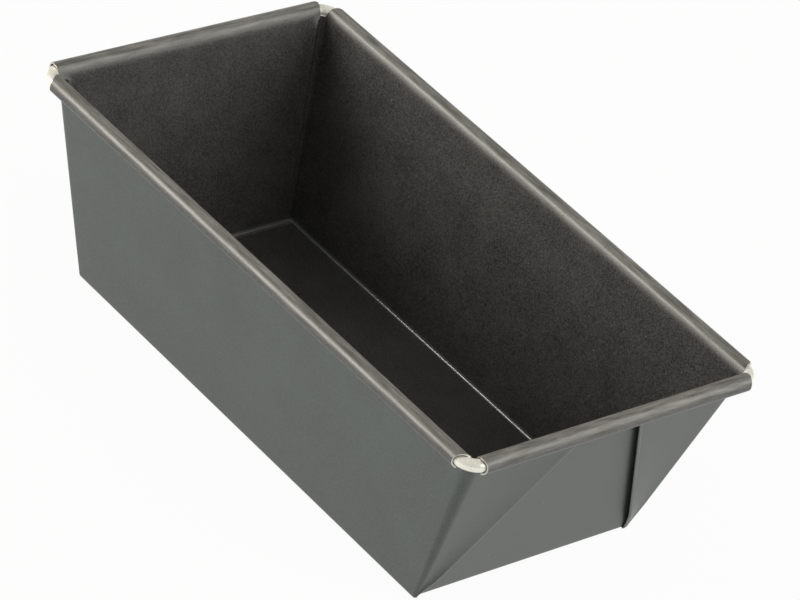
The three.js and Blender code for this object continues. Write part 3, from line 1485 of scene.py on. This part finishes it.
@dataclass(frozen=True)
class SoftBox:
    """A soft box: an area lamp aimed at the pan.

    Attributes:
        name: the lamp's name.
        place: where it hangs, in metres.
        size: width and height, in metres.
        level: how bright its face is, where 1 is white.
        colour: its light.
    """

    name: str
    place: tuple[float, float, float]
    size: tuple[float, float]
    level: float
    colour: str

    def build(self, aim: Vector) -> None:
        """Hangs the lamp.

        Args:
            aim: what it points at, in metres.
        """
        lamp = bpy.data.lights.new(self.name, "AREA")
        lamp.shape = "RECTANGLE"
        lamp.size, lamp.size_y = self.size
        lamp.energy = self.level * math.pi * self.size[0] * self.size[1]
        lamp.color = linear(self.colour)[:3]
        holder = bpy.data.objects.new(self.name, lamp)
        holder.location = self.place
        holder.rotation_euler = (aim - Vector(self.place)).to_track_quat("-Z", "Y").to_euler()
        bpy.context.scene.collection.objects.link(holder)


@dataclass
class Studio:
    """Pale floor, soft light and the camera at the photograph's angle.

    Attributes:
        aim: point of the pan on the camera's axis, in millimetres.
        distance: from there to the camera, in millimetres.
        azimuth: camera's angle round from the left side, in degrees.
        elevation: its angle above the table, in degrees.
        roll: its turn about its own axis, in degrees.
        lens: focal length, in millimetres.
        sensor: width of the picture behind the lens, in millimetres.
        floor_size: side of the floor, in metres.
        floor_drop: how far it lies under the base's flat underside, so that the two don't coincide.
        floor_colour: the floor's own colour.
        floor_white: share of plain white where the floor is seen; the rest keeps the shadow.
        surround_colour: light from all round.
        surround_level: how bright that light is, where 1 is white.
        lamps: the soft boxes.
    """

    aim: tuple[float, float, float] = (-0.05, 7.95, 25.0)
    distance: float = 1036.0
    azimuth: float = 43.44
    elevation: float = 33.79
    roll: float = 14.53
    lens: float = 215.50
    sensor: float = 36.0
    floor_size: float = 3.0
    floor_drop: float = 0.3
    floor_colour: str = "#dcdcda"
    floor_white: float = 0.95
    surround_colour: str = "#e8e8e6"
    surround_level: float = 0.48
    lamps: tuple[SoftBox, ...] = (
        SoftBox("left_soft_box", (-0.57, -0.70, 0.36), (0.48, 0.45), 11.0, "#fffaf4"),
        SoftBox("right_soft_box", (0.66, 0.50, 0.47), (1.0, 0.66), 3.2, "#fffffa"),
    )

    def build(self) -> None:
        """Makes the floor, the light and the camera."""
        self.build_floor()
        self.build_light()
        self.build_camera()

    def build_floor(self) -> None:
        """Lays a pale floor that the camera sees as white and that keeps the pan's shadow."""
        bm = bmesh.new()
        bmesh.ops.create_grid(bm, x_segments=1, y_segments=1, size=self.floor_size / 2 / MM)
        bmesh.ops.translate(bm, verts=bm.verts[:], vec=(0, 0, -self.floor_drop))
        floor = mesh_object("floor", bm)
        # Matt white paper: a plain bright ground, with a faint soft shadow round the pan.
        material, tree = new_material("white_paper")
        rays = add_node(tree, "LightPath").outputs
        seen = rays["Is Camera Ray"]
        for kind in ("Is Glossy Ray", "Is Transmission Ray"):
            seen = add_node(tree, "Math", {"operation": "MAXIMUM"}, {0: seen, 1: rays[kind]}).outputs[0]
        share = add_node(tree, "Math", {"operation": "MULTIPLY"}, {
            0: seen, 1: self.floor_white,
        }).outputs[0]
        paper = add_node(tree, "BsdfDiffuse", inputs={"Color": linear(self.floor_colour)})
        white = add_node(tree, "Emission", inputs={"Strength": 1.0})
        mixed = add_node(tree, "MixShader", inputs={
            0: share, 1: paper.outputs["BSDF"], 2: white.outputs["Emission"],
        })
        add_node(tree, "OutputMaterial", inputs={"Surface": mixed.outputs["Shader"]})
        floor.data.materials.append(material)

    def build_light(self) -> None:
        """Hangs the soft boxes and sets a dim, even surround."""
        for lamp in self.lamps:
            lamp.build(Vector(self.aim) * MM)
        world = bpy.data.worlds.new("surround")
        world.use_nodes = True
        light = world.node_tree.nodes["Background"].inputs
        light["Color"].default_value = linear(self.surround_colour)
        light["Strength"].default_value = self.surround_level
        bpy.context.scene.world = world
        bpy.context.scene.view_settings.view_transform = "Standard"

    def build_camera(self) -> None:
        """Sets up the camera."""
        around, up = math.radians(self.azimuth), math.radians(self.elevation)
        back = Vector((math.sin(around) * math.cos(up), -math.cos(around) * math.cos(up), math.sin(up)))
        lens = bpy.data.cameras.new("camera")
        lens.lens = self.lens
        lens.sensor_fit = "HORIZONTAL"
        lens.sensor_width = self.sensor
        camera = bpy.data.objects.new("camera", lens)
        level = (-back).to_track_quat("-Z", "Y").to_matrix()
        turned = level @ Matrix.Rotation(math.radians(self.roll), 3, "Z")
        camera.matrix_world = turned.to_4x4()
        camera.location = (Vector(self.aim) + back * self.distance) * MM
        bpy.context.scene.collection.objects.link(camera)
        bpy.context.scene.camera = camera


def main() -> None:
    """Builds the studio and then the pan, piece by piece."""
    logging.basicConfig(level=logging.INFO, format="%(name)s: %(message)s")
    Studio().build()
    sizes = PanSizes.from_frame()
    pan = Pan(sizes, Folds(sizes.sheet))
    finishes = Finishes.make(sizes)
    makers: list[BasePanel | RimmedWall | CornerFold | RimWire] = [BasePanel(pan)]
    makers += [RimmedWall(pan, place) for place in Place]
    makers += [CornerFold(pan, corner) for corner in Corner]
    makers.append(RimWire(sizes))
    for maker in makers:
        piece = maker.build(finishes)
        LOG.info("%s: %d faces", piece.name, len(piece.data.polygons))


if __name__ == "__main__":
    main()
